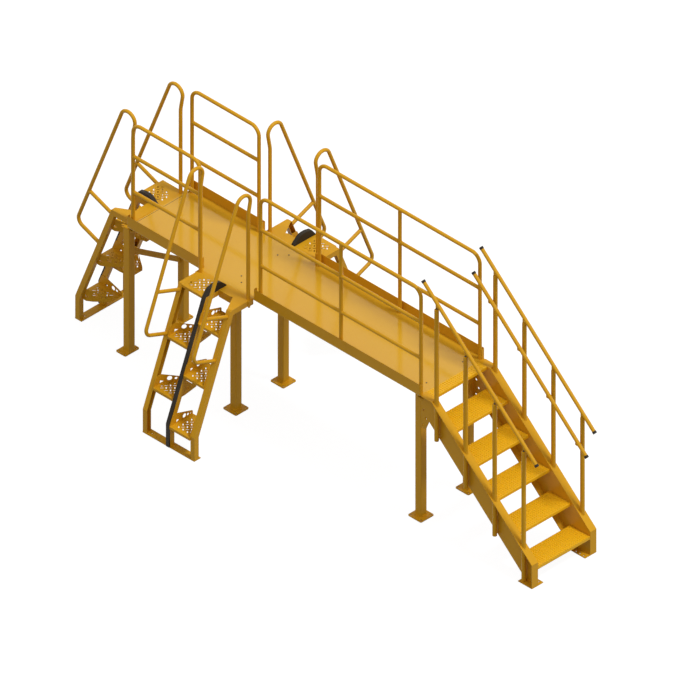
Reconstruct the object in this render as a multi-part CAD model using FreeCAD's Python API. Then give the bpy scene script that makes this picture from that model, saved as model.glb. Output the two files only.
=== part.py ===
import FreeCAD
import Part
import os
from math import atan2, cos, hypot, radians, sin, tan
from FreeCAD import Vector

# Walking level of the deck and its plan size
deck_height = 1320.0
deck_length = 3453.0
deck_width = 761.0
deck_plate_thickness = 6.0
deck_corner_radius = 6.0

# Frame under the deck
beam_depth = 50.0
beam_width = 60.0
beam_wall = 4.0
cross_beam_width = 50.0

# Grip strip at the head of the ordinary stair
nosing_depth = 100.0
nosing_height = 30.0
nosing_sheet = 4.0

# Toe boards
board_height = 104.0
board_thickness = 4.0
board_return = 35.0
board_left_start = 0.0
board_left_length = 873.0
board_right_start = 1493.0
board_fold_radius = 8.0

# Legs
leg_size = 70.0
leg_wall = 4.0
leg_corner_radius = 6.0
leg_row_offset = 279.3
leg_middle_x = 1183.0
leg_right_inset = 90.0
leg_left_row_offset = 320.0
base_plate_size = 157.0
base_plate_thickness = 10.0
base_plate_radius = 14.0
base_hole_radius = 8.0
base_hole_spacing = 118.0
left_base_plate_length = 115.0
left_base_plate_width = 170.0
left_base_hole_spacing_x = 80.0
left_base_hole_spacing_y = 132.0
left_base_plate_shift = 17.0

# Slanting tie between the two left legs
brace_height = 60.0
brace_thickness = 10.0
brace_high_end = 1042.0
brace_low_end = 661.0

# Tube guards
tube_radius = 16.7
guard_line_offset = 347.0
guard_rise = 1070.0
guard_mid_drop = 334.0
guard_low_drop = 364.0
guard_corner_radius = 90.0
guard_left_start = 40.0
guard_left_run = 789.0
guard_right_start = 1541.0
guard_right_inset = 21.0
guard_middle_shift = 2.5

# Alternating tread stairs
alt_stair_centre_x = 1177.0
alt_width = 609.0
alt_reach = 686.0
alt_foot_height = 235.0
alt_top_run = 262.0
alt_stringer_depth = 51.0
alt_flange_width = 47.0
alt_sheet = 5.0
alt_spine_width = 35.0
alt_floor_bar_depth = 77.0
alt_floor_bar_thickness = 8.0
alt_floor_bar_front = 3.0
alt_floor_hole_radius = 7.0
alt_floor_hole_offset = 230.0
alt_tread_rise = 220.0
alt_tread_depth = 275.0
alt_tread_sheet = 4.0
alt_tread_lip = 25.0
alt_landing_tread_depth = 272.0
alt_side_high = 92.0
alt_side_low = 34.0
alt_side_corner_radius = 14.0
alt_side_straight = 92.0
alt_side_crest = 100.0
alt_side_turn = 58.0
alt_outer_holes = [[157.0, 43.0, 22.0], [204.0, 34.0, 12.0], [235.0, 28.0, 7.0]]
alt_inner_holes = [[176.0, 28.0, 20.0], [217.0, 22.0, 12.0], [249.0, 16.0, 6.0]]
alt_side_slot = [[80.0, 3.0], [118.0, 20.0], [82.0, 34.0]]
alt_grip_pitch = 50.8
alt_grip_rows = 4
alt_grip_first_row = 54.0
alt_grip_first_column = 76.0
alt_grip_slot_length = 27.0
alt_grip_slot_width = 9.0
alt_grip_edge = 14.0
alt_landing_depth = 112.0
alt_landing_width = 150.0
alt_landing_drop = 70.0
alt_gusset_reach = 252.0
alt_gusset_notch = [170.0, 100.0]
alt_clip_height = 51.0
alt_clip_width = 60.0
alt_clip_thickness = 8.0

# Rubber divider on the spine
divider_width = 35.0
divider_strip = 15.0
divider_height = 80.0
divider_crest_near = 92.0
divider_near = 20.0
divider_crest_far = 165.0
divider_shoulder = [224.0, 66.0]
divider_round = 26.0

# Handrail loops of the alternating tread stairs
loop_plane = 281.0
loop_post_distance = 29.0
loop_lean_height = 2170.0
loop_lean_slope = 0.175
loop_lean_radius = 300.0
loop_distance = 279.0
loop_top_radius = 81.0
loop_bottom_radius = 70.0
loop_lower_joint_height = 891.0
loop_upper_joint_height = 1265.0

# Ordinary stair
stair_rise = 225.0
stair_going = 246.5
stair_steps = 5
stair_tread_depth = 250.0
stair_tread_sheet = 4.0
stair_tread_nose = 30.0
stair_tread_end_height = 60.0
stair_web_offset = 307.5
stair_web_sheet = 6.0
stair_flange_width = 73.0
stair_flange_lift = 32.0
stair_web_drop = 369.0
stair_lower_flange = 58.0
stair_front_face = 1218.0
stair_gusset_low = 940.0
stair_gusset_holes = [[29.0, 1126.0], [57.0, 1051.0], [27.0, 975.0]]
stair_gusset_hole_radius = 11.0
stair_flange_corner_radius = 22.0
stair_foot_plate_length = 163.0
stair_foot_plate_width = 135.0
stair_foot_plate_thickness = 8.0
stair_foot_hole_radius = 8.0
stair_foot_holes = [[40.0, 20.0], [85.0, 20.0], [130.0, 20.0]]

# Posts and rails of the ordinary stair
stair_post_radius = 20.0
stair_post_offset = 346.0
stair_post_first = 62.0
stair_post_last_inset = 130.0
stair_post_count = 4
stair_post_clear = 57.0
stair_post_bottom = 341.0
stair_post_chamfer = 5.0
rail_height = 1057.0
rail_inset = 5.0
rail_start = -89.0
rail_run = 1316.0
rail_bracket_width = 28.0
rail_bracket_thickness = 8.0
handrail_height = 798.0
handrail_inset = 70.0
handrail_start = -115.0
handrail_run = 1312.0
handrail_bracket_width = 26.0
handrail_bracket_thickness = 8.0
handrail_bracket_drop = 62.0
handrail_bracket_radius = 24.0
cap_thickness = 22.0
cap_radius = 18.5

# Worked out from the sizes above
half_width = deck_width / 2
floor_bar_reach = alt_reach + alt_floor_bar_front
strip_reach = alt_reach + divider_strip
nosing_x = deck_length + nosing_depth
stair_slope = stair_rise / stair_going
stair_angle = atan2(stair_rise, stair_going)
rail_end_x = nosing_x + rail_start + rail_run
x_high = rail_end_x + cap_thickness * cos(stair_angle) + cap_radius * sin(stair_angle)
x_low = -strip_reach
x_shift = -(x_low + x_high) / 2
alt_slope = (alt_reach - alt_top_run) / (deck_height - alt_foot_height)
beam_top = deck_height - deck_plate_thickness
beam_bottom = beam_top - beam_depth
stringer_low = deck_height - alt_stringer_depth
left_leg_x = -leg_size / 2
leg_right_x = deck_length - leg_right_inset
board_right_length = deck_length - board_right_start
stair_post_top = rail_height - stair_post_clear
stair_post_run = stair_front_face - stair_post_first - stair_post_last_inset
stair_post_spacing = stair_post_run / (stair_post_count - 1)
guard_left_posts = [guard_left_start, guard_left_start + guard_left_run]
guard_right_end = deck_length - guard_right_inset
guard_right_middle = (guard_right_start + guard_right_end) / 2 + guard_middle_shift
guard_right_posts = [guard_right_start, guard_right_middle, guard_right_end]
tread_near = alt_spine_width / 2
tread_far = alt_width / 2 - alt_flange_width


def corner_edges(points, radii, closed):
    edges = []
    count = len(points)
    starts = list(points)
    ends = list(points)
    arcs = [None] * count
    for i in range(count):
        if radii[i] <= 0 or (not closed and i in (0, count - 1)):
            continue
        corner = points[i]
        back = (points[i - 1] - corner).normalize()
        ahead = (points[(i + 1) % count] - corner).normalize()
        half = back.getAngle(ahead) / 2
        run = radii[i] / tan(half)
        middle = (back + ahead).normalize()
        centre = corner + middle * (radii[i] / sin(half))
        starts[i] = corner + back * run
        ends[i] = corner + ahead * run
        arcs[i] = Part.Arc(starts[i], centre - middle * radii[i], ends[i]).toShape()
    for i in range(count):
        if arcs[i]:
            edges.append(arcs[i])
        if closed or i < count - 1:
            following = starts[(i + 1) % count]
            if (following - ends[i]).Length > 0.001:
                edges.append(Part.makeLine(ends[i], following))
    return edges


def plate(points, thickness, radii=None):
    radii = radii or [0] * len(points)
    wire = Part.Wire(corner_edges(points, radii, True))
    return Part.Face(wire).extrude(thickness)


def tube(points, bend_radius, radius=tube_radius):
    path = Part.Wire(corner_edges(points, [bend_radius] * len(points), False))
    ring = Part.makeCircle(radius, points[0], points[1] - points[0])
    return path.makePipeShell([Part.Wire([ring])], True, False)


def bar(start, end, radius=tube_radius):
    along = end - start
    return Part.makeCylinder(radius, along.Length, start, along)


def block(x, y, z, dx, dy, dz):
    return Part.makeBox(dx, dy, dz, Vector(x, y, z))


def upright_edges(shape):
    found = []
    for edge in shape.Edges:
        if len(edge.Vertexes) == 2:
            run = edge.Vertexes[1].Point - edge.Vertexes[0].Point
            if hypot(run.x, run.y) < 0.001:
                found.append(edge)
    return found


def fused(shapes):
    return shapes[0].multiFuse(shapes[1:]).removeSplitter()


def offset_line(points, distance):
    moved = []
    normals = []
    for a, b in zip(points, points[1:]):
        length = hypot(b[0] - a[0], b[1] - a[1])
        normals.append(((b[1] - a[1]) / length, -(b[0] - a[0]) / length))
    for i, point in enumerate(points):
        before = normals[max(i - 1, 0)]
        after = normals[min(i, len(normals) - 1)]
        scale = distance / (1 + before[0] * after[0] + before[1] * after[1])
        moved.append([point[0] + scale * (before[0] + after[0]), point[1] + scale * (before[1] + after[1])])
    return moved


def deck_plate():
    sheet = block(0, -half_width, beam_top, deck_length, deck_width, deck_plate_thickness)
    return [sheet.makeFillet(deck_corner_radius, upright_edges(sheet))]


def box_tube(x, y, z, dx, dy, dz, wall, axis):
    outer = block(x, y, z, dx, dy, dz)
    if axis == "x":
        inner = block(x, y + wall, z + wall, dx, dy - 2 * wall, dz - 2 * wall)
    elif axis == "y":
        inner = block(x + wall, y, z + wall, dx - 2 * wall, dy, dz - 2 * wall)
    else:
        inner = block(x + wall, y + wall, z, dx - 2 * wall, dy - 2 * wall, dz)
    return outer.cut(inner)


def deck_frame():
    parts = []
    for side in (-1, 1):
        y = side * leg_row_offset - beam_width / 2
        start = cross_beam_width
        length = deck_length - 2 * cross_beam_width
        parts.append(box_tube(start, y, beam_bottom, length, beam_width, beam_depth, beam_wall, "x"))
    between = 2 * leg_row_offset - beam_width
    for x in (leg_middle_x, leg_right_x):
        left = x - cross_beam_width / 2
        if x == leg_right_x:
            left = x - cross_beam_width
        parts.append(box_tube(left, -between / 2, beam_bottom, cross_beam_width, between, beam_depth,
                              beam_wall, "y"))
    end_width = 2 * (leg_left_row_offset + leg_size / 2)
    for x in (0, deck_length - cross_beam_width):
        parts.append(box_tube(x, -end_width / 2, beam_bottom, cross_beam_width, end_width, beam_depth,
                              beam_wall, "y"))
    return [fused(parts)]


def deck_nosing():
    top = deck_height
    low = top - nosing_height
    profile = [
        Vector(deck_length, -stair_web_offset, top),
        Vector(nosing_x, -stair_web_offset, top),
        Vector(nosing_x, -stair_web_offset, low),
        Vector(nosing_x - nosing_sheet, -stair_web_offset, low),
        Vector(nosing_x - nosing_sheet, -stair_web_offset, top - nosing_sheet),
        Vector(deck_length + nosing_sheet, -stair_web_offset, top - nosing_sheet),
        Vector(deck_length + nosing_sheet, -stair_web_offset, low),
        Vector(deck_length, -stair_web_offset, low),
    ]
    return [plate(profile, Vector(0, 2 * stair_web_offset, 0), [0, 5, 0, 0, 0, 0, 0, 0])]


def toe_board(start, length, side):
    outer = side * half_width
    inner = outer - side * board_thickness
    tip = outer - side * board_return
    end = start + length
    outline = [
        Vector(start, outer, deck_height),
        Vector(end, outer, deck_height),
        Vector(end, tip, deck_height),
        Vector(end - board_thickness, tip, deck_height),
        Vector(end - board_thickness, inner, deck_height),
        Vector(start + board_thickness, inner, deck_height),
        Vector(start + board_thickness, tip, deck_height),
        Vector(start, tip, deck_height),
    ]
    inside = board_fold_radius - board_thickness
    radii = [board_fold_radius, board_fold_radius, 0, 0, inside, inside, 0, 0]
    return [plate(outline, Vector(0, 0, board_height), radii)]


def base_plate(x, y, length, width, spacing_x, spacing_y):
    sheet = block(x - length / 2, y - width / 2, 0, length, width, base_plate_thickness)
    sheet = sheet.makeFillet(base_plate_radius, upright_edges(sheet))
    for i in (-1, 1):
        for j in (-1, 1):
            spot = Vector(x + i * spacing_x / 2, y + j * spacing_y / 2, 0)
            sheet = sheet.cut(Part.makeCylinder(base_hole_radius, base_plate_thickness, spot))
    return sheet


def leg(x, y, top, foot):
    tall = top - base_plate_thickness
    outer = block(x - leg_size / 2, y - leg_size / 2, base_plate_thickness, leg_size, leg_size, tall)
    outer = outer.makeFillet(leg_corner_radius, upright_edges(outer))
    clear = leg_size - 2 * leg_wall
    inner = block(x - clear / 2, y - clear / 2, base_plate_thickness, clear, clear, tall - leg_wall)
    return [fused([outer.cut(inner), foot])]


def main_leg(x, side):
    y = side * leg_row_offset
    foot = base_plate(x, y, base_plate_size, base_plate_size, base_hole_spacing, base_hole_spacing)
    return leg(x, y, beam_bottom, foot)


def left_leg(side):
    y = side * leg_left_row_offset
    foot = base_plate(left_leg_x - left_base_plate_shift, y, left_base_plate_length, left_base_plate_width,
                      left_base_hole_spacing_x, left_base_hole_spacing_y)
    return leg(left_leg_x, y, stringer_low, foot)


def left_leg_brace():
    inner = leg_left_row_offset - leg_size / 2
    x = left_leg_x - brace_thickness / 2
    outline = [
        Vector(x, -inner, brace_high_end),
        Vector(x, inner, brace_low_end),
        Vector(x, inner, brace_low_end - brace_height),
        Vector(x, -inner, brace_high_end - brace_height),
    ]
    return [plate(outline, Vector(brace_thickness, 0, 0))]


def guard(posts, side):
    y = side * guard_line_offset
    top = deck_height + guard_rise - tube_radius
    mid = top - guard_mid_drop
    low = mid - guard_low_drop
    foot = deck_height
    first, last = posts[0], posts[-1]
    hoop = tube([Vector(first, y, foot), Vector(first, y, top), Vector(last, y, top), Vector(last, y, foot)],
                guard_corner_radius)
    parts = [hoop]
    for x in posts[1:-1]:
        parts.append(bar(Vector(x, y, foot), Vector(x, y, top)))
    for z in (mid, low):
        parts.append(bar(Vector(first, y, z), Vector(last, y, z)))
    return [fused(parts)]


def front_line(extra=0.0):
    points = [(alt_reach, 0), (alt_reach, alt_foot_height), (alt_top_run, deck_height), (0, deck_height)]
    return offset_line(points, extra)


def front_at(z):
    if z <= alt_foot_height:
        return alt_reach
    return alt_top_run + (deck_height - z) * alt_slope


def side_view(across, points):
    return [Vector(across, -point[0], point[1]) for point in points]


def alt_section(depth_from, depth_to, bottom):
    front = front_line(-depth_from)
    back = front_line(-depth_to)
    front[0][1] = bottom
    back[0][1] = bottom
    return front + back[::-1]


def alt_stringers():
    parts = []
    web_outer = alt_width / 2
    for side in (-1, 1):
        whole = alt_section(0, alt_stringer_depth, alt_floor_bar_thickness)
        hollow = alt_section(alt_sheet, alt_stringer_depth - alt_sheet, alt_floor_bar_thickness)
        outer = plate(side_view(side * web_outer, whole), Vector(-side * alt_flange_width, 0, 0))
        inner = plate(side_view(side * (web_outer - alt_sheet), hollow), Vector(-side * alt_flange_width, 0, 0))
        parts.append(outer.cut(inner))
    floor = block(-web_outer, -floor_bar_reach, 0, alt_width, alt_floor_bar_depth, alt_floor_bar_thickness)
    for side in (-1, 1):
        spot = Vector(side * alt_floor_hole_offset, -floor_bar_reach + alt_floor_bar_depth / 2, 0)
        floor = floor.cut(Part.makeCylinder(alt_floor_hole_radius, alt_floor_bar_thickness, spot))
    parts.append(floor)
    return [fused(parts)]


def alt_spine():
    outline = alt_section(0, alt_stringer_depth, alt_floor_bar_thickness)
    return [plate(side_view(-alt_spine_width / 2, outline), Vector(alt_spine_width, 0, 0))]


def alt_divider():
    strip = front_line(divider_strip)
    face = front_line()
    strip[0][1] = alt_floor_bar_thickness
    face[0][1] = alt_floor_bar_thickness
    crest = deck_height + divider_height
    outline = [
        strip[0],
        strip[1],
        [front_at(deck_height - 8) + divider_strip, deck_height - 8],
        [divider_shoulder[0], deck_height + divider_shoulder[1]],
        [divider_crest_far, crest],
        [divider_crest_near, crest],
        [divider_near, deck_height + 12],
        [divider_near, deck_height],
        face[2],
        face[1],
        face[0],
    ]
    radii = [0, 0, 8, divider_round, 60, 90, 0, 0, 0, 0, 0]
    return [plate(side_view(-divider_width / 2, outline), Vector(divider_width, 0, 0), radii)]


def turned_slot(x, y, z, turn):
    slot = block(-alt_grip_slot_length / 2, -alt_grip_slot_width / 2, 0, alt_grip_slot_length,
                 alt_grip_slot_width, alt_tread_sheet)
    slot.rotate(Vector(0, 0, 0), Vector(0, 0, 1), turn)
    slot.translate(Vector(x, y, z))
    return slot


def outer_edge(back):
    return tread_far - max(0, back - alt_side_straight) / tan(radians(alt_side_turn))


def grip_slots(front, z, hand):
    slots = []
    for half_row in range(2 * alt_grip_rows - 1):
        across = half_row % 2 if hand > 0 else (half_row + 1) % 2
        back = alt_grip_first_row + half_row * alt_grip_pitch / 2
        for j in range(alt_grip_rows - across):
            x = alt_grip_first_column + (j + across / 2) * alt_grip_pitch
            if x + alt_grip_edge < outer_edge(back):
                turn = 45 if across else -45
                slots.append(turned_slot(x, -front + back, z, turn * hand))
    return Part.makeCompound(slots)


def bent_strip(route, thickness, low, high):
    outer = [Vector(p[0], p[1], low) for p in route]
    inner = [Vector(p[0], p[1], low) for p in offset_line(route, thickness)]
    return plate(outer + inner[::-1], Vector(0, 0, high - low))


def side_trim(front, depth, z):
    lean = alt_side_high * alt_slope
    outline = [
        [front, z - alt_tread_lip],
        [front, z],
        [front - lean, z + alt_side_high],
        [front - alt_side_crest, z + alt_side_high],
        [front - depth, z + alt_side_low],
        [front - depth, z - alt_tread_sheet],
        [front - depth / 2, z - alt_tread_lip],
    ]
    radii = [0, 0, alt_side_corner_radius, 2 * alt_side_corner_radius, alt_side_corner_radius, 0, 0]
    return plate(side_view(0, outline), Vector(tread_far, 0, 0), radii)


def alt_tread(z, depth, hand, sides):
    front = front_at(z) + (alt_landing_tread_depth - alt_top_run)
    back_width = outer_edge(depth) if sides else tread_far
    straight = alt_side_straight if sides else depth
    outline = [[tread_near, 0], [tread_far, 0], [tread_far, straight], [back_width, depth], [tread_near, depth]]
    if not sides:
        outline = [outline[0], outline[1], outline[3], outline[4]]
    sheet = plate([Vector(p[0], -front + p[1], z - alt_tread_sheet) for p in outline],
                  Vector(0, 0, alt_tread_sheet))
    sheet = sheet.cut(grip_slots(front, z - alt_tread_sheet, hand))
    lip = block(tread_near, -front, z - alt_tread_lip, tread_far - tread_near, alt_tread_sheet, alt_tread_lip)
    parts = [sheet, lip]
    if sides:
        low = z - alt_tread_lip
        high = z + alt_side_high
        inner = block(tread_near, -front, low, alt_tread_sheet, depth, high - low)
        route = [[tread_far, -front], [tread_far, straight - front], [back_width, depth - front]]
        trim = side_trim(front, depth, z)
        cutters = []
        for back, up, radius in alt_inner_holes:
            spot = Vector(0, -front + back, z + up)
            cutters.append(Part.makeCylinder(radius, tread_near + 2 * alt_tread_sheet, spot, Vector(1, 0, 0)))
        for back, up, radius in alt_outer_holes:
            x = outer_edge(back)
            turn = radians(alt_side_turn)
            square = Vector(sin(turn), cos(turn), 0)
            spot = Vector(x, -front + back, z + up) - square * 3 * alt_tread_sheet
            cutters.append(Part.makeCylinder(radius, 6 * alt_tread_sheet, spot, square))
        slot = side_view(0, [[front - p[0], z + p[1]] for p in alt_side_slot])
        cutters.append(plate(slot, Vector(2 * tread_far, 0, 0), [4, 4, 4]))
        outer = bent_strip(route, -alt_tread_sheet, low, high)
        for wall in (inner, outer):
            parts.append(wall.common(trim).cut(Part.makeCompound(cutters)))
    shape = fused(parts)
    if hand < 0:
        shape = shape.mirror(Vector(0, 0, 0), Vector(1, 0, 0))
    return shape


def alt_treads():
    treads = [alt_tread(deck_height, alt_landing_tread_depth, -1, False)]
    for i in range(1, 6):
        hand = 1 if i % 2 else -1
        treads.append(alt_tread(deck_height - i * alt_tread_rise, alt_tread_depth, hand, True))
    return treads


def alt_landing():
    z = deck_height - alt_tread_sheet
    edge = alt_width / 2
    outline = [
        [tread_near, 0],
        [edge, 0],
        [edge, alt_gusset_reach],
        [tread_far, alt_gusset_reach],
        alt_gusset_notch,
        [alt_landing_width, alt_landing_depth],
        [tread_near, alt_landing_depth],
    ]
    lifted = deck_height + alt_tread_sheet
    sheet = plate([Vector(p[0], -p[1], deck_height) for p in outline], Vector(0, 0, alt_tread_sheet),
                  [0, 0, 8, 8, 0, 0, 0])
    drop = block(tread_near, -alt_landing_depth, lifted - alt_landing_drop, alt_landing_width - tread_near,
                 alt_tread_sheet, alt_landing_drop)
    tube_spot = Vector(loop_plane, -loop_post_distance, deck_height)
    sheet = sheet.cut(Part.makeCylinder(tube_radius, alt_tread_sheet, tube_spot))
    parts = [fused([sheet, drop])]
    for side in (-1, 1):
        x = side * edge
        clip = block(min(x, x + side * alt_clip_thickness), -alt_clip_width, deck_height - alt_clip_height,
                     alt_clip_thickness, alt_clip_width, alt_clip_height)
        parts.append(clip)
    return parts


def loop_lines():
    line = front_line(loop_distance)
    foot, head = line[1], line[2]
    slope = (head[0] - foot[0]) / (head[1] - foot[1])
    return foot, slope


def alt_handrails():
    loops = []
    foot, slope = loop_lines()
    lean = -loop_lean_slope
    apex_z = (loop_post_distance - foot[0] + slope * foot[1] - lean * loop_lean_height) / (slope - lean)
    apex = [foot[0] + slope * (apex_z - foot[1]), apex_z]
    across = loop_distance * cos(atan2(-slope, 1))
    up = loop_distance * sin(atan2(-slope, 1))
    lower = [front_at(loop_lower_joint_height), loop_lower_joint_height]
    upper = [front_at(loop_upper_joint_height), loop_upper_joint_height]
    for side in (-1, 1):
        route = [
            [loop_post_distance, deck_height],
            [loop_post_distance, loop_lean_height],
            apex,
            [lower[0] + across, lower[1] + up],
            lower,
        ]
        points = side_view(side * loop_plane, route)
        edges = corner_edges(points, [0, loop_lean_radius, loop_top_radius, loop_bottom_radius, 0], False)
        ring = Part.makeCircle(tube_radius, points[0], points[1] - points[0])
        ring.rotate(points[0], Vector(0, 0, 1), -90)
        hoop = Part.Wire(edges).makePipeShell([Part.Wire([ring])], True, False)
        tie = bar(*side_view(side * loop_plane, [[upper[0] + across, upper[1] + up], upper]))
        loops.append(fused([hoop, tie]))
    return loops


def stair_line(x):
    return deck_height - stair_slope * (x - nosing_x)


def stair_outline(lift, drop, front):
    top_x = nosing_x + lift / stair_slope
    start = deck_length
    leg_face = leg_right_x + leg_size / 2
    low_x = nosing_x + (deck_height - drop) / stair_slope
    foot = stair_foot_plate_thickness
    return [
        [start, deck_height],
        [top_x, deck_height],
        [front, stair_line(front) + lift],
        [front, foot],
        [low_x - foot / stair_slope, foot],
        [start + 40, stair_line(start + 40) - drop],
        [start + 1, stair_gusset_low],
        [leg_face, stair_gusset_low],
        [leg_face, beam_bottom],
        [start, beam_bottom],
    ]


def stair_stringer(side):
    front = nosing_x + stair_front_face
    lift = stair_flange_lift
    drop = stair_web_drop - stair_flange_lift
    outline = stair_outline(lift, drop, front)
    web_face = side * stair_web_offset
    web = plate([Vector(p[0], web_face, p[1]) for p in outline], Vector(0, side * stair_web_sheet, 0))
    for along, up in stair_gusset_holes:
        spot = Vector(leg_right_x + leg_size / 2 + along, web_face, up)
        web = web.cut(Part.makeCylinder(stair_gusset_hole_radius, stair_web_sheet, spot, Vector(0, side, 0)))
    path = [tuple(p) for p in outline[:4]]
    under = offset_line(path, stair_web_sheet)
    under[0][0] = path[0][0]
    under[3][1] = path[3][1]
    strip = [Vector(p[0], web_face, p[1]) for p in path + under[::-1]]
    flange = plate(strip, Vector(0, side * stair_flange_width, 0))
    rounding = []
    for edge in flange.Edges:
        ends = [v.Point for v in edge.Vertexes]
        if len(ends) == 2:
            at_start = all(abs(p.x - path[0][0]) < 0.01 for p in ends)
            outside = all(abs(p.y - web_face - side * stair_flange_width) < 0.01 for p in ends)
            if at_start and outside:
                rounding.append(edge)
    flange = flange.makeFillet(stair_flange_corner_radius, rounding)
    low = [outline[5], outline[4]]
    raised = offset_line([low[1], low[0]], stair_web_sheet)
    lower = plate([Vector(p[0], web_face, p[1]) for p in low + raised],
                  Vector(0, -side * stair_lower_flange, 0))
    foot_x = front - stair_foot_plate_length
    foot_y = min(side * half_width, side * (half_width - stair_foot_plate_width))
    foot = block(foot_x, foot_y, 0, stair_foot_plate_length, stair_foot_plate_width, stair_foot_plate_thickness)
    for along, inward in stair_foot_holes:
        y = side * (half_width - stair_foot_plate_width + inward)
        foot = foot.cut(Part.makeCylinder(stair_foot_hole_radius, stair_foot_plate_thickness,
                                          Vector(foot_x + along, y, 0)))
    shape = fused([web, flange, lower, foot])
    for i in range(stair_post_count):
        x = nosing_x + stair_post_first + i * stair_post_spacing
        spot = Vector(x, side * stair_post_offset, stair_line(x) - stair_web_drop / 4)
        shape = shape.cut(Part.makeCylinder(stair_post_radius, stair_web_drop / 2, spot))
    return [shape]


def stair_treads():
    treads = []
    for n in range(1, stair_steps + 1):
        front = nosing_x + n * stair_going
        if n == stair_steps:
            front = nosing_x + stair_front_face - 2
        top = deck_height - n * stair_rise
        back = nosing_x + n * stair_going - stair_tread_depth
        low = top - stair_tread_nose
        s = stair_tread_sheet
        start = -stair_web_offset
        outline = [
            [back, top], [front, top], [front, low], [front - 12, low], [front - 12, low + s],
            [front - s, low + s], [front - s, top - s], [back + s, top - s], [back + s, low], [back, low],
        ]
        radii = [0, 5, 0, 0, 0, 0, 0, 0, 0, 0]
        plank = plate([Vector(p[0], start, p[1]) for p in outline], Vector(0, 2 * stair_web_offset, 0), radii)
        ends = []
        for y in (start, -start - s):
            ends.append(block(back, y, top - stair_tread_end_height, stair_tread_depth - 40, s,
                              stair_tread_end_height))
        treads.append(fused([plank] + ends))
    return treads


def stair_posts(side):
    posts = []
    for i in range(stair_post_count):
        x = nosing_x + stair_post_first + i * stair_post_spacing
        y = side * stair_post_offset
        low = max(stair_line(x) - stair_post_bottom, stair_foot_plate_thickness)
        high = stair_line(x) + stair_post_top
        post = Part.makeCylinder(stair_post_radius, high - low, Vector(x, y, low))
        crown = [edge for edge in post.Edges if edge.BoundBox.ZMin > high - 0.01]
        posts.append(post.makeChamfer(stair_post_chamfer, crown))
    return posts


def rail_points(start, run, y, height):
    a = nosing_x + start
    b = a + run
    return Vector(a, y, stair_line(a) + height), Vector(b, y, stair_line(b) + height)


def stair_rail(side):
    y = side * (stair_post_offset - rail_inset)
    parts = [bar(*rail_points(rail_start, rail_run, y, rail_height))]
    for i in range(stair_post_count):
        x = nosing_x + stair_post_first + i * stair_post_spacing
        low = stair_line(x) + stair_post_top
        high = stair_line(x) + rail_height
        parts.append(block(x - rail_bracket_width / 2, y - rail_bracket_thickness / 2, low,
                           rail_bracket_width, rail_bracket_thickness, high - low))
    return fused(parts)


def stair_rails():
    return [stair_rail(-1), stair_rail(1)]


def stair_handrail_lower():
    y = stair_post_offset - handrail_inset
    parts = [bar(*rail_points(handrail_start, handrail_run, y, handrail_height))]
    face = stair_post_offset - stair_post_radius
    half = handrail_bracket_width / 2
    for i in range(stair_post_count):
        x = nosing_x + stair_post_first + i * stair_post_spacing
        z = stair_line(x) + handrail_height
        drop = z - handrail_bracket_drop
        t = handrail_bracket_thickness
        outline = [[face, drop], [y - t / 2, drop], [y - t / 2, z], [y + t / 2, z], [y + t / 2, drop + t],
                   [face, drop + t]]
        radii = [0, handrail_bracket_radius, 0, 0, handrail_bracket_radius - t, 0]
        parts.append(plate([Vector(x - half, p[0], p[1]) for p in outline],
                           Vector(handrail_bracket_width, 0, 0), radii))
    return [fused(parts)]


def rail_caps():
    caps = []
    lines = [
        rail_points(rail_start, rail_run, -(stair_post_offset - rail_inset), rail_height),
        rail_points(rail_start, rail_run, stair_post_offset - rail_inset, rail_height),
        rail_points(handrail_start, handrail_run, stair_post_offset - handrail_inset, handrail_height),
    ]
    for start, end in lines:
        along = (end - start).normalize()
        caps.append(Part.makeCylinder(cap_radius, cap_thickness, start, -along))
        caps.append(Part.makeCylinder(cap_radius, cap_thickness, end, along))
    return caps


def placed(shapes, turn, at):
    moved = []
    for shape in shapes:
        copy = shape.copy()
        copy.rotate(Vector(0, 0, 0), Vector(0, 0, 1), turn)
        copy.translate(at)
        moved.append(copy)
    return moved


def save(name, shapes):
    shapes = [shape.copy() for shape in shapes]
    for shape in shapes:
        shape.translate(Vector(x_shift, 0, 0))
    whole = shapes[0] if len(shapes) == 1 else Part.makeCompound(shapes)
    whole.exportStep("parts/" + name + ".step")
    print(name, len(whole.Solids), "solids", whole.isValid())


def alternating_stairs():
    pieces = {
        "stringers": alt_stringers(),
        "spine": alt_spine(),
        "divider": alt_divider(),
        "treads": alt_treads(),
        "landing": alt_landing(),
        "handrails": alt_handrails(),
    }
    spots = {
        "front": (0, Vector(alt_stair_centre_x, -half_width, 0)),
        "rear": (180, Vector(alt_stair_centre_x, half_width, 0)),
        "left": (-90, Vector(0, 0, 0)),
    }
    for where, (turn, at) in spots.items():
        for what, shapes in pieces.items():
            save(where + "_stair_" + what, placed(shapes, turn, at))


def main():
    os.makedirs("parts", exist_ok=True)
    save("deck_plate", deck_plate())
    save("deck_frame", deck_frame())
    save("deck_nosing", deck_nosing())
    for side, word in ((-1, "front"), (1, "rear")):
        save("toe_board_" + word + "_left", toe_board(board_left_start, board_left_length, side))
        save("toe_board_" + word + "_right", toe_board(board_right_start, board_right_length, side))
        save("guard_" + word + "_left", guard(guard_left_posts, side))
        save("guard_" + word + "_right", guard(guard_right_posts, side))
        save("leg_left_" + word, left_leg(side))
        save("leg_middle_" + word, main_leg(leg_middle_x, side))
        save("leg_right_" + word, main_leg(leg_right_x, side))
        save("stair_stringer_" + word, stair_stringer(side))
        save("stair_posts_" + word, stair_posts(side))
    save("left_leg_brace", left_leg_brace())
    alternating_stairs()
    save("stair_treads", stair_treads())
    save("stair_rails", stair_rails())
    save("stair_handrail_lower", stair_handrail_lower())
    save("rail_caps", rail_caps())
    print("overall length", round(x_high - x_low, 1))


main()
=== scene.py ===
import math
import bpy
import bmesh
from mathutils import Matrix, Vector
from mathutils.bvhtree import BVHTree


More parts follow.
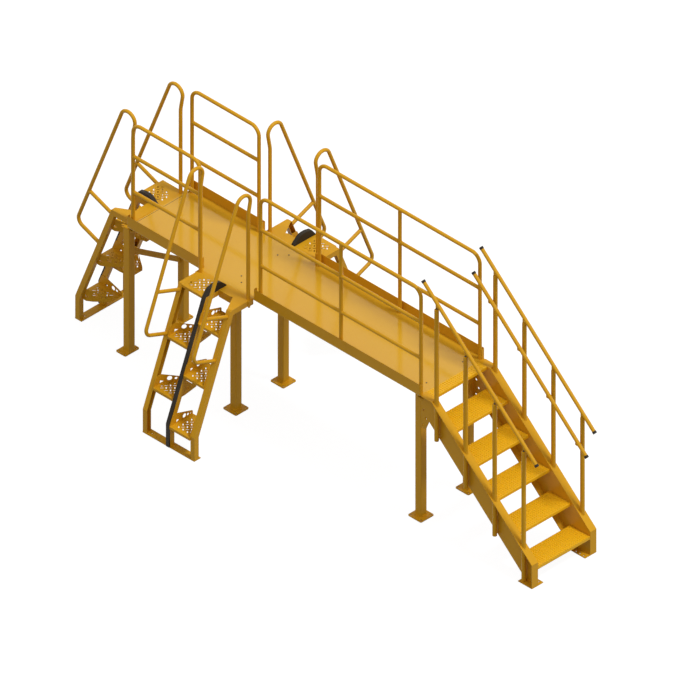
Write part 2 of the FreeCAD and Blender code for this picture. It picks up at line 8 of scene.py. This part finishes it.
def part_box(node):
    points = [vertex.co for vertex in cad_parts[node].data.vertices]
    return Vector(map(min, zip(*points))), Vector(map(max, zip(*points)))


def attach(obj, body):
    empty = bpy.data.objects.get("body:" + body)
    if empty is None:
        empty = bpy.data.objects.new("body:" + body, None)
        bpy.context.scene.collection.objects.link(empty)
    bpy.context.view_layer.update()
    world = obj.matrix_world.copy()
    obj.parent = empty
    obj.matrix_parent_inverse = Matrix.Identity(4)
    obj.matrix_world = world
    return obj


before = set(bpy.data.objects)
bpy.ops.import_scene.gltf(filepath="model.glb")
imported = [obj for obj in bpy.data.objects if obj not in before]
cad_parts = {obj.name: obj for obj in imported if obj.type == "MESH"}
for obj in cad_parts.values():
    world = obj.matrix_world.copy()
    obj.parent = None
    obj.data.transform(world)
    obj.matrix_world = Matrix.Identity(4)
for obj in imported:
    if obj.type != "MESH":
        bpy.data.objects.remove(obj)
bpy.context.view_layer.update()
print("frame loaded:", len(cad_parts), "nodes")


# Shader maths: a wrapped socket that takes Python's own operators

class Value:
    def __init__(self, tree, socket):
        self.tree = tree
        self.socket = socket

    def maths(self, operation, other, swapped=False):
        node = self.tree.nodes.new("ShaderNodeMath")
        node.operation = operation
        pair = (other, self) if swapped else (self, other)
        for slot, value in zip(node.inputs, pair):
            if isinstance(value, Value):
                self.tree.links.new(value.socket, slot)
            else:
                slot.default_value = value
        return Value(self.tree, node.outputs[0])

    def __add__(self, other):
        return self.maths("ADD", other)

    def __radd__(self, other):
        return self.maths("ADD", other, True)

    def __rsub__(self, other):
        return self.maths("SUBTRACT", other, True)

    def __mul__(self, other):
        return self.maths("MULTIPLY", other)

    def __rmul__(self, other):
        return self.maths("MULTIPLY", other, True)

    def __truediv__(self, other):
        return self.maths("DIVIDE", other)


class Graph:
    def __init__(self, tree):
        self.tree = tree

    def node(self, kind, settings=None, output=0, **values):
        made = self.tree.nodes.new(kind)
        for key, value in (settings or {}).items():
            setattr(made, key, value)
        for key, value in values.items():
            place = int(key[1:]) if key[1:].isdigit() else key.replace("_", " ")
            if isinstance(value, Value):
                self.tree.links.new(value.socket, made.inputs[place])
            else:
                made.inputs[place].default_value = value
        shown = [socket for socket in made.outputs if socket.enabled]
        return Value(self.tree, shown[output])


class Finish(Graph):
    def __init__(self, name, **fixed):
        self.material = bpy.data.materials.new(name)
        self.material.use_nodes = True
        super().__init__(self.material.node_tree)
        self.shader = self.tree.nodes["Principled BSDF"]
        for key, value in fixed.items():
            self.shader.inputs[key.replace("_", " ")].default_value = value

    def place(self):
        return self.node("ShaderNodeTexCoord", output=3)

    def stretched(self, scale):
        return self.node("ShaderNodeMapping", Vector=self.place(), Scale=scale)

    def noise(self, scale, detail=3.0, roughness=0.5, where=None):
        return self.node("ShaderNodeTexNoise", Vector=where or self.place(), Scale=scale, Detail=detail,
                         Roughness=roughness)

    def mix(self, factor, first, second):
        return self.node("ShaderNodeMix", {"data_type": "RGBA"}, i0=factor, i6=first, i7=second)

    def step(self, value, low, high):
        return self.node("ShaderNodeMapRange", {"interpolation_type": "SMOOTHSTEP"}, Value=value,
                         i1=low, i2=high)

    def edges(self, radius):
        rounded = self.node("ShaderNodeBevel", {"samples": 4}, Radius=radius)
        facing = self.node("ShaderNodeNewGeometry", output=1)
        dot = self.node("ShaderNodeVectorMath", {"operation": "DOT_PRODUCT"}, i0=rounded, i1=facing)
        return rounded, self.step(1.0 - dot, 0.03, 0.22)

    def feed(self, name, value):
        self.tree.links.new(value.socket, self.shader.inputs[name])

    def bump(self, height, strength, distance, under=None):
        values = {"Height": height, "Strength": strength, "Distance": distance}
        if under:
            values["Normal"] = under
        self.feed("Normal", self.node("ShaderNodeBump", **values))


paint = {
    "bright": (0.74, 0.38, 0.016, 1),
    "deep": (0.60, 0.29, 0.008, 1),
    # edge: lighter yellow painted along edges as a highlight
    "edge": (0.86, 0.50, 0.05, 1),
    "dust": (0.60, 0.33, 0.045, 1),
    "gloss": 0.36,
    "cloudScale": 1.7,
    "fineScale": 38.0,
    "highlightPatchScale": 60.0,
    "dustScale": 7.0,
    "peelScale": 420.0,
    "edgeRadius": 0.0035,
}


# The last argument sets the strength of the painted highlight along edges.
def yellowPaint(name, bright=paint["bright"], deep=paint["deep"], gloss=paint["gloss"],
                shine=0.12, edgeHighlight=0.7):
    finish = Finish(name, Specular_IOR_Level=shine)
    cloud = finish.noise(paint["cloudScale"], 5.0, 0.6)
    fine = finish.noise(paint["fineScale"], 3.0, 0.55)
    rounded, edge = finish.edges(paint["edgeRadius"])
    body = finish.mix(cloud * 0.55 + fine * 0.2, bright, deep)
    # Noise that breaks the painted edge highlight into patches
    highlightPatches = finish.step(finish.noise(paint["highlightPatchScale"], 6.0, 0.7), 0.42, 0.62)
    # Lighter paint along the edges, in patches: a painted highlight where rounded edges catch light
    colour = finish.mix(edge * (0.35 + 0.65 * highlightPatches) * edgeHighlight, body, paint["edge"])
    settled = finish.step(finish.noise(paint["dustScale"], 6.0, 0.65), 0.58, 0.78)
    finish.feed("Base Color", finish.mix(settled * 0.16, colour, paint["dust"]))
    finish.feed("Roughness", cloud * 0.1 + fine * 0.08 + edge * 0.15 + settled * 0.12 + (gloss - 0.09))
    finish.bump(finish.noise(paint["peelScale"], 2.0), 0.12, 0.0004, rounded)
    return finish


def deckPaint():
    finish = yellowPaint("deckPaint", (0.73, 0.405, 0.022, 1), (0.64, 0.335, 0.015, 1), 0.13, 0.42, 0.5)
    scratches = finish.noise(9.0, 8.0, 0.75, finish.stretched((1.0, 26.0, 1.0)))
    cross = finish.noise(7.0, 8.0, 0.75, finish.stretched((22.0, 1.0, 1.0)))
    finish.bump(scratches * 0.6 + cross * 0.4, 0.05, 0.0006)
    return finish


def gripPaint():
    return yellowPaint("gripPaint", (0.90, 0.49, 0.010, 1), (0.76, 0.38, 0.006, 1), 0.38, 0.2, 0.4)


def blackRubber():
    finish = Finish("blackRubber", Specular_IOR_Level=0.15)
    cloud = finish.noise(6.0, 4.0)
    rounded, edge = finish.edges(0.004)
    body = finish.mix(cloud, (0.022, 0.017, 0.012, 1), (0.045, 0.036, 0.024, 1))
    # Lighter rubber along the edges: a painted highlight
    finish.feed("Base Color", finish.mix(edge * 0.6, body, (0.09, 0.075, 0.05, 1)))
    finish.feed("Roughness", cloud * 0.25 + 0.36)
    finish.bump(finish.noise(900.0, 2.0), 0.3, 0.0003, rounded)
    return finish


def darkSteel():
    finish = Finish("darkSteel", Metallic=0.8)
    grain = finish.noise(240.0, 4.0)
    finish.feed("Base Color", finish.mix(grain, (0.06, 0.052, 0.045, 1), (0.13, 0.11, 0.09, 1)))
    finish.feed("Roughness", grain * 0.2 + 0.35)
    finish.bump(grain, 0.15, 0.0003)
    return finish


yellow = yellowPaint("yellowPaint").material
deckYellow = deckPaint().material
gripYellow = gripPaint().material
weldYellow = yellowPaint("weldPaint", gloss=0.3, edgeHighlight=0.2).material
rubber = blackRubber().material
steel = darkSteel().material
print("finishes made")

for name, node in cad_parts.items():
    finish = yellow
    if name.endswith("divider") or name == "rail_caps":
        finish = rubber
    if name == "deck_plate":
        finish = deckYellow
    if name in ("stair_treads", "deck_nosing"):
        finish = gripYellow
    for slot in node.material_slots:
        slot.material = finish
print("finishes put on the frame")


# Recipes: node trees that repeat a small shape over points or run a bead along lines

class Recipe(Graph):
    def __init__(self, name):
        super().__init__(bpy.data.node_groups.new(name, "GeometryNodeTree"))
        self.face = self.tree.interface
        self.entry = self.tree.nodes.new("NodeGroupInput")
        self.names = {}
        self.face.new_socket("Geometry", in_out="INPUT", socket_type="NodeSocketGeometry")
        self.face.new_socket("Geometry", in_out="OUTPUT", socket_type="NodeSocketGeometry")
        self.base = Value(self.tree, self.entry.outputs[0])

    def size(self, name, default):
        made = self.face.new_socket(name, in_out="INPUT", socket_type="NodeSocketFloat")
        made.default_value = default
        self.names[name] = made.identifier
        return Value(self.tree, self.entry.outputs[name])

    def finish(self, shape):
        made = self.face.new_socket("Finish", in_out="INPUT", socket_type="NodeSocketMaterial")
        self.names["Finish"] = made.identifier
        real = self.node("GeometryNodeRealizeInstances", Geometry=shape)
        dressed = self.node("GeometryNodeSetMaterial", Geometry=real,
                            Material=Value(self.tree, self.entry.outputs["Finish"]))
        end = self.tree.nodes.new("NodeGroupOutput")
        self.tree.links.new(dressed.socket, end.inputs[0])
        return self

    def onPoints(self, shape):
        facing = self.node("GeometryNodeInputNamedAttribute", {"data_type": "FLOAT_VECTOR"}, Name="facing")
        turn = self.node("FunctionNodeAlignRotationToVector", {"axis": "Z"}, Vector=facing)
        return self.node("GeometryNodeInstanceOnPoints", Points=self.base, Instance=shape, Rotation=turn)

    def joined(self, shapes):
        made = self.tree.nodes.new("GeometryNodeJoinGeometry")
        for shape in shapes:
            self.tree.links.new(shape.socket, made.inputs[0])
        return Value(self.tree, made.outputs[0])

    def raised(self, shape, height):
        lift = self.node("ShaderNodeCombineXYZ", Z=height)
        return self.node("GeometryNodeTransform", Geometry=shape, Translation=lift)


def pointBase(name, places):
    mesh = bpy.data.meshes.new(name)
    mesh.from_pydata([place[0] for place in places], [], [])
    facing = mesh.attributes.new("facing", "FLOAT_VECTOR", "POINT")
    for spot, place in zip(facing.data, places):
        spot.vector = place[1]
    return mesh


def lineBase(name, lines):
    spots, edges = [], []
    for line in lines:
        edges += [(len(spots) + i, len(spots) + i + 1) for i in range(len(line) - 1)]
        spots += line
    mesh = bpy.data.meshes.new(name)
    mesh.from_pydata(spots, edges, [])
    return mesh


def grow(name, mesh, recipe, finish, slot, **sizes):
    piece = bpy.data.objects.new(name, mesh)
    bpy.context.scene.collection.objects.link(piece)
    nodes = piece.modifiers.new("recipe", "NODES")
    nodes.node_group = recipe.tree
    for key, value in sizes.items():
        nodes[recipe.names[key.replace("_", " ")]] = value
    nodes[recipe.names["Finish"]] = finish
    depsgraph = bpy.context.evaluated_depsgraph_get()
    made = bpy.data.meshes.new_from_object(piece.evaluated_get(depsgraph), depsgraph=depsgraph)
    piece.modifiers.remove(nodes)
    piece.data = made
    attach(piece, "root")
    print(name, len(made.polygons), "faces")


def screwRecipe():
    recipe = Recipe("screwHeads")
    width = recipe.size("Head Width", 0.022)
    height = recipe.size("Head Height", 0.008)
    collar = recipe.size("Collar Width", 0.03)
    thick = recipe.size("Collar Height", 0.0025)
    head = recipe.node("GeometryNodeMeshCone", Vertices=6, Side_Segments=1, Radius_Top=width * 0.5,
                       Radius_Bottom=width * 0.58, Depth=height)
    ring = recipe.node("GeometryNodeMeshCylinder", Vertices=16, Radius=collar * 0.5, Depth=thick)
    parts = [recipe.raised(head, thick), recipe.raised(ring, thick * 0.5)]
    return recipe.finish(recipe.onPoints(recipe.joined(parts)))


def studRecipe():
    recipe = Recipe("lowStuds")
    width = recipe.size("Stud Width", 0.012)
    height = recipe.size("Stud Height", 0.003)
    dome = recipe.node("GeometryNodeMeshCone", Vertices=10, Radius_Top=width * 0.27, Radius_Bottom=width * 0.5,
                       Depth=height)
    return recipe.finish(recipe.onPoints(dome))


def gridRecipe():
    recipe = Recipe("gripField")
    length = recipe.size("Field Length", 0.58)
    depth = recipe.size("Field Depth", 0.2)
    pitch = recipe.size("Stud Pitch", 0.024)
    width = recipe.size("Stud Width", 0.013)
    height = recipe.size("Stud Height", 0.0025)
    field = recipe.node("GeometryNodeMeshGrid", Size_X=depth, Size_Y=length, Vertices_X=depth / pitch + 1.0,
                        Vertices_Y=length / pitch + 1.0)
    stud = recipe.node("GeometryNodeMeshCone", Vertices=8, Radius_Top=width * 0.25, Radius_Bottom=width * 0.5,
                       Depth=height)
    filled = recipe.node("GeometryNodeInstanceOnPoints", Points=field, Instance=stud)
    return recipe.finish(recipe.onPoints(filled))


def beadRecipe():
    recipe = Recipe("weldBead")
    width = recipe.size("Bead Width", 0.007)
    ripple = recipe.size("Ripple Length", 0.004)
    line = recipe.node("GeometryNodeMeshToCurve", Mesh=recipe.base)
    even = recipe.node("GeometryNodeResampleCurve", {"mode": "LENGTH"}, Curve=line, Length=ripple)
    index = recipe.node("GeometryNodeInputIndex")
    swell = recipe.node("ShaderNodeMath", {"operation": "MODULO"}, i0=index, i1=2.0) * 0.22 + 0.78
    swollen = recipe.node("GeometryNodeSetCurveRadius", Curve=even, Radius=swell)
    ring = recipe.node("GeometryNodeCurvePrimitiveCircle", Resolution=6, Radius=width * 0.5)
    bead = recipe.node("GeometryNodeCurveToMesh", Curve=swollen, Profile_Curve=ring, Fill_Caps=True)
    return recipe.finish(bead)


screwHeads = screwRecipe()
lowStuds = studRecipe()
gripField = gridRecipe()
weldBead = beadRecipe()
print("recipes made")


# Where things are: the boxes of the separate solids of a node, and the frame's own lengths

def solidBoxes(name):
    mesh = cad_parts[name].data
    work = bmesh.new()
    work.from_mesh(mesh)
    bmesh.ops.remove_doubles(work, verts=work.verts, dist=1e-5)
    left = set(work.verts)
    boxes = []
    while left:
        queue = [left.pop()]
        found = list(queue)
        while queue:
            vert = queue.pop()
            for edge in vert.link_edges:
                other = edge.other_vert(vert)
                if other in left:
                    left.discard(other)
                    found.append(other)
                    queue.append(other)
        low = Vector([min(vert.co[i] for vert in found) for i in range(3)])
        high = Vector([max(vert.co[i] for vert in found) for i in range(3)])
        boxes.append((low, high))
    work.free()
    return sorted(boxes, key=lambda box: -box[1].z)


deckLow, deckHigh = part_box("deck_plate")
deckTop = deckHigh[2]
up = Vector((0, 0, 1))
legNames = ["leg_%s_%s" % (where, side) for where in ("left", "middle", "right") for side in ("front", "rear")]


# Ordinary stair: raised studs on the treads and on the strip at its head

treadGrip = {"pitch": 0.0235, "studWidth": 0.0155, "studHeight": 0.0036, "margin": 0.014}


def treadStuds():
    margin = treadGrip["margin"]
    low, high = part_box("deck_nosing")
    groups = {"treadStuds": solidBoxes("stair_treads"), "nosingStuds": [(Vector(low), Vector(high))]}
    for name, boxes in groups.items():
        size = boxes[0][1] - boxes[0][0]
        places = [(Vector(((low.x + high.x) / 2, (low.y + high.y) / 2, high.z)), up)
                  for low, high in boxes]
        grow(name, pointBase(name, places), gripField, gripYellow, "yellow_paint",
             Field_Length=size.y - 2 * margin, Field_Depth=size.x - 2 * margin, Stud_Pitch=treadGrip["pitch"],
             Stud_Width=treadGrip["studWidth"], Stud_Height=treadGrip["studHeight"])


treadStuds()


# Alternating stairs: small studs between the slots of each tread

stairs = {
    "front": ((1.177, -0.3805), (1, 0), (0, -1)),
    "rear": ((1.177, 0.3805), (-1, 0), (0, 1)),
    "left": ((0.0, 0.0), (0, -1), (-1, 0)),
}
slots = {"pitch": 0.0508, "rows": 4, "columns": 5, "firstRow": 0.054, "firstColumn": 0.076,
         "straight": 0.092, "slant": 1.6, "outer": 0.2575, "edge": 0.02, "lip": 0.025}
slotStuds = {"studWidth": 0.012, "studHeight": 0.0012}
shift = deckLow[0]


def stairAxes(where):
    origin, across, out = stairs[where]
    return Vector((origin[0] + shift, origin[1], 0)), Vector((*across, 0)), Vector((*out, 0))


def alternatingStuds():
    places = []
    for where in stairs:
        start, across, out = stairAxes(where)
        for low, high in solidBoxes("%s_stair_treads" % where):
            corners = [Vector((x, y, 0)) - start for x in (low.x, high.x) for y in (low.y, high.y)]
            ends = [corner.dot(across) for corner in corners]
            front = max(corner.dot(out) for corner in corners)
            hand = 1 if max(ends) > -min(ends) else -1
            top = low.z + slots["lip"]
            for half in range(2 * slots["rows"] - 1):
                back = slots["firstRow"] + half * slots["pitch"] / 2
                slant = max(0, back - slots["straight"]) / slots["slant"]
                limit = slots["outer"] - slant - slots["edge"]
                odd = half % 2 if hand > 0 else (half + 1) % 2
                for j in range(slots["columns"]):
                    x = slots["firstColumn"] + (j + (0 if odd else 0.5)) * slots["pitch"]
                    if x < limit:
                        spot = start + across * hand * x + out * (front - back)
                        places.append((Vector((spot.x, spot.y, top)), up))
    return places


grow("slotStuds", pointBase("slotStuds", alternatingStuds()), lowStuds, yellow, "yellow_paint",
     Stud_Width=slotStuds["studWidth"], Stud_Height=slotStuds["studHeight"])


# Screws: deck plate to the leg heads, and the heads of the alternating stairs' stringers

screws = {"deckReach": 0.0655, "deckHead": 0.013, "deckRise": 0.0025, "driveShare": 0.6,
          "driveRise": 0.001, "sideHead": 0.017, "sideRise": 0.007, "sideOut": 0.3045,
          "sidePlaces": ((0.022, 1.29), (0.044, 1.262)), "collarShare": 1.35, "collarRise": 0.002}


def deckScrews():
    places = []
    for name in legNames[2:]:
        low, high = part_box(name)
        x = (low[0] + high[0]) / 2
        y = (low[1] + high[1]) / 2
        inward = -1 if y > 0 else 1
        places.append((Vector((x, y + inward * screws["deckReach"], deckTop)), up))
        if "middle" in name:
            places.append((Vector((x + screws["deckReach"], y, deckTop)), up))
    return places


def stringerScrews():
    places = []
    for where in stairs:
        start, across, out = stairAxes(where)
        for hand in (-1, 1):
            for reach, height in screws["sidePlaces"]:
                spot = start + across * hand * screws["sideOut"] + out * reach
                places.append((Vector((spot.x, spot.y, height)), across * hand))
    return places


grow("deckScrews", pointBase("deckScrews", deckScrews()), screwHeads, steel, "yellow_paint",
     Head_Width=screws["deckHead"] * screws["driveShare"], Head_Height=screws["driveRise"],
     Collar_Width=screws["deckHead"], Collar_Height=screws["deckRise"])
grow("stringerScrews", pointBase("stringerScrews", stringerScrews()), screwHeads, yellow, "yellow_paint",
     Head_Width=screws["sideHead"], Head_Height=screws["sideRise"],
     Collar_Width=screws["sideHead"] * screws["collarShare"], Collar_Height=screws["collarRise"])


# Weld beads: legs to their plates, treads to their stringers, posts to the stringer flanges,
# and the guards' rails to their posts and their posts to the deck

beads = {"legBead": 0.008, "treadBead": 0.006, "ripple": 0.004, "legHalf": 0.0355, "leftLeg": -0.035,
         "plateTop": 0.012, "treadInset": 0.003, "treadEnd": 0.02, "postClear": 0.001}
ringTurns = [i * math.tau / 24 for i in range(25)]


def legBeads():
    lines = []
    half = beads["legHalf"]
    corners = ((-1, -1), (1, -1), (1, 1), (-1, 1), (-1, -1))
    for name in legNames:
        low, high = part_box(name)
        x = shift + beads["leftLeg"] if "left" in name else (low[0] + high[0]) / 2
        y = (low[1] + high[1]) / 2
        lines.append([Vector((x + i * half, y + j * half, beads["plateTop"])) for i, j in corners])
    return lines


def treadBeads():
    lines = []
    end = beads["treadEnd"]
    for low, high in solidBoxes("stair_treads"):
        for y in (low.y, high.y):
            inside = y * (1 - beads["treadInset"] / abs(y))
            lines.append([Vector((x, inside, high.z)) for x in (low.x + end, high.x - end)])
    return lines


def surfaceUnder(name):
    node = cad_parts[name]
    tree = BVHTree.FromObject(node, bpy.context.evaluated_depsgraph_get())

    def height(x, y, start):
        hit = tree.ray_cast(Vector((x, y, start)), Vector((0, 0, -1)))[0]
        return None if hit is None else hit.z

    return height


def ringOn(name, x, y, radius, start):
    height = surfaceUnder(name)
    ring = []
    for turn in ringTurns:
        px, py = x + radius * math.cos(turn), y + radius * math.sin(turn)
        z = height(px, py, start)
        if z is not None:
            ring.append(Vector((px, py, z)))
    return ring


def postBeads():
    lines = []
    for side, carrier in (("front", "stair_stringer_front"), ("rear", "stair_stringer_rear")):
        for low, high in solidBoxes("stair_posts_" + side):
            middle = (low + high) / 2
            radius = (high.x - low.x) / 2 + beads["postClear"]
            lines.append(ringOn(carrier, middle.x, middle.y, radius, middle.z))
    return [line for line in lines if len(line) > 4]


guards = {"line": 0.347, "radius": 0.0167, "rails": (2.0393, 1.6753), "leftPosts": (0.040, 0.829),
          "rightPosts": (1.541, 2.489, 3.432), "saddleClear": 0.0005, "saddleSwell": 1.04}


def saddle(x, y, z, way):
    radius = guards["radius"]
    swell = guards["saddleSwell"]
    points = []
    for turn in ringTurns:
        out = radius * math.sin(turn)
        reach = math.sqrt(max(0.0, radius * radius - out * out)) + guards["saddleClear"]
        points.append(Vector((x + way * reach, y + out * swell, z + radius * swell * math.cos(turn))))
    return points


def guardBeads():
    lines = []
    wide = guards["radius"] + beads["postClear"]
    for side in (-1, 1):
        y = side * guards["line"]
        for posts in (guards["leftPosts"], guards["rightPosts"]):
            for start, end in zip(posts, posts[1:]):
                for x, way in ((start + shift, 1), (end + shift, -1)):
                    lines += [saddle(x, y, z, way) for z in guards["rails"]]
            for x in posts:
                lines.append([Vector((x + shift + wide * math.cos(turn), y + wide * math.sin(turn), deckTop))
                              for turn in ringTurns])
    return lines


grow("legBeads", lineBase("legBeads", legBeads()), weldBead, weldYellow, "yellow_paint",
     Bead_Width=beads["legBead"], Ripple_Length=beads["ripple"])
for name, lines in (("treadBeads", treadBeads()), ("postBeads", postBeads()), ("guardBeads", guardBeads())):
    grow(name, lineBase(name, lines), weldBead, weldYellow, "yellow_paint", Bead_Width=beads["treadBead"],
         Ripple_Length=beads["ripple"])


# Joint across the deck beside the left stair

deckJoint = {"place": 0.016, "inset": 0.012, "sink": 0.0015, "width": 0.005, "ripple": 0.02}


def jointLine():
    x = deckLow[0] + deckJoint["place"]
    reach = deckHigh[1] - deckJoint["inset"]
    return [Vector((x, y, deckTop - deckJoint["sink"])) for y in (-reach, reach)]


grow("deckJoint", lineBase("deckJoint", [jointLine()]), weldBead, rubber, "black_rubber",
     Bead_Width=deckJoint["width"], Ripple_Length=deckJoint["ripple"])


# Dark screws on the heads of the stair posts

railScrews = {"width": 0.02, "height": 0.006, "headShare": 0.75, "collarRise": 0.002}


def postScrews():
    places = []
    for name in ("stair_posts_front", "stair_posts_rear"):
        for low, high in solidBoxes(name):
            places.append((Vector(((low.x + high.x) / 2, (low.y + high.y) / 2, high.z)), up))
    return places


grow("postScrews", pointBase("postScrews", postScrews()), screwHeads, steel, "yellow_paint",
     Head_Width=railScrews["width"] * railScrews["headShare"], Head_Height=railScrews["height"],
     Collar_Width=railScrews["width"], Collar_Height=railScrews["collarRise"])


# Floor, lamps and world

studio = {
    "floorHalf": 30.0,
    "floorGlow": 0.93,
    "floorGrey": 0.17,
    "worldLight": 0.58,
    "sunStrength": 1.65,
    "sunAngle": 12.0,
    "sunTurn": (0.5, 0.12, 1.0),
}


def makeFloor():
    half = studio["floorHalf"]
    grey = studio["floorGrey"]
    corners = [(-half, -half, 0), (half, -half, 0), (half, half, 0), (-half, half, 0)]
    mesh = bpy.data.meshes.new("floor")
    mesh.from_pydata(corners, [], [(0, 1, 2, 3)])
    floor = bpy.data.objects.new("floor", mesh)
    bpy.context.scene.collection.objects.link(floor)
    finish = Finish("paleFloor", Roughness=0.9, Base_Color=(grey, grey, grey, 1), Specular_IOR_Level=0.0)
    tree = finish.tree
    path = tree.nodes.new("ShaderNodeLightPath")
    seen = Value(tree, path.outputs["Is Camera Ray"]) + Value(tree, path.outputs["Is Glossy Ray"])
    glow = tree.nodes.new("ShaderNodeEmission")
    glow.inputs["Strength"].default_value = studio["floorGlow"]
    joined = tree.nodes.new("ShaderNodeAddShader")
    mixed = tree.nodes.new("ShaderNodeMixShader")
    tree.links.new(finish.shader.outputs[0], joined.inputs[0])
    tree.links.new(glow.outputs[0], joined.inputs[1])
    tree.links.new(seen.socket, mixed.inputs[0])
    tree.links.new(finish.shader.outputs[0], mixed.inputs[1])
    tree.links.new(joined.outputs[0], mixed.inputs[2])
    tree.links.new(mixed.outputs[0], tree.nodes["Material Output"].inputs["Surface"])
    mesh.materials.append(finish.material)


def makeWorld():
    world = bpy.data.worlds.new("studio")
    bpy.context.scene.world = world
    world.use_nodes = True
    tree = world.node_tree
    path = tree.nodes.new("ShaderNodeLightPath")
    back = tree.nodes["Background"]
    back.inputs["Color"].default_value = (1, 1, 1, 1)
    back.inputs["Strength"].default_value = studio["worldLight"]
    white = tree.nodes.new("ShaderNodeBackground")
    white.inputs["Color"].default_value = (1, 1, 1, 1)
    white.inputs["Strength"].default_value = 1.0
    either = tree.nodes.new("ShaderNodeMath")
    either.operation = "MAXIMUM"
    mixed = tree.nodes.new("ShaderNodeMixShader")
    tree.links.new(path.outputs["Is Camera Ray"], either.inputs[0])
    tree.links.new(path.outputs["Is Glossy Ray"], either.inputs[1])
    tree.links.new(either.outputs[0], mixed.inputs[0])
    tree.links.new(back.outputs[0], mixed.inputs[1])
    tree.links.new(white.outputs[0], mixed.inputs[2])
    tree.links.new(mixed.outputs[0], tree.nodes["World Output"].inputs["Surface"])


def makeSun():
    lamp = bpy.data.lights.new("sun", "SUN")
    lamp.energy = studio["sunStrength"]
    lamp.angle = math.radians(studio["sunAngle"])
    sun = bpy.data.objects.new("sun", lamp)
    sun.rotation_euler = Vector(studio["sunTurn"]).to_track_quat("Z", "Y").to_euler()
    bpy.context.scene.collection.objects.link(sun)


view = {
    "target": (-0.26935, 0.3161, 0.7286),
    "direction": (1.0, -1.0, 1.0),
    "distance": 14.0,
    "span": 5.624,
}


def makeCamera():
    lens = bpy.data.cameras.new("camera")
    lens.type = "ORTHO"
    lens.ortho_scale = view["span"]
    lens.clip_end = 100.0
    camera = bpy.data.objects.new("camera", lens)
    away = Vector(view["direction"]).normalized()
    camera.location = Vector(view["target"]) + away * view["distance"]
    camera.rotation_euler = away.to_track_quat("Z", "Y").to_euler()
    bpy.context.scene.collection.objects.link(camera)
    bpy.context.scene.camera = camera


makeFloor()
makeWorld()
makeSun()
makeCamera()
bpy.context.scene.view_settings.view_transform = "Standard"
print("floor, lamps and camera made")
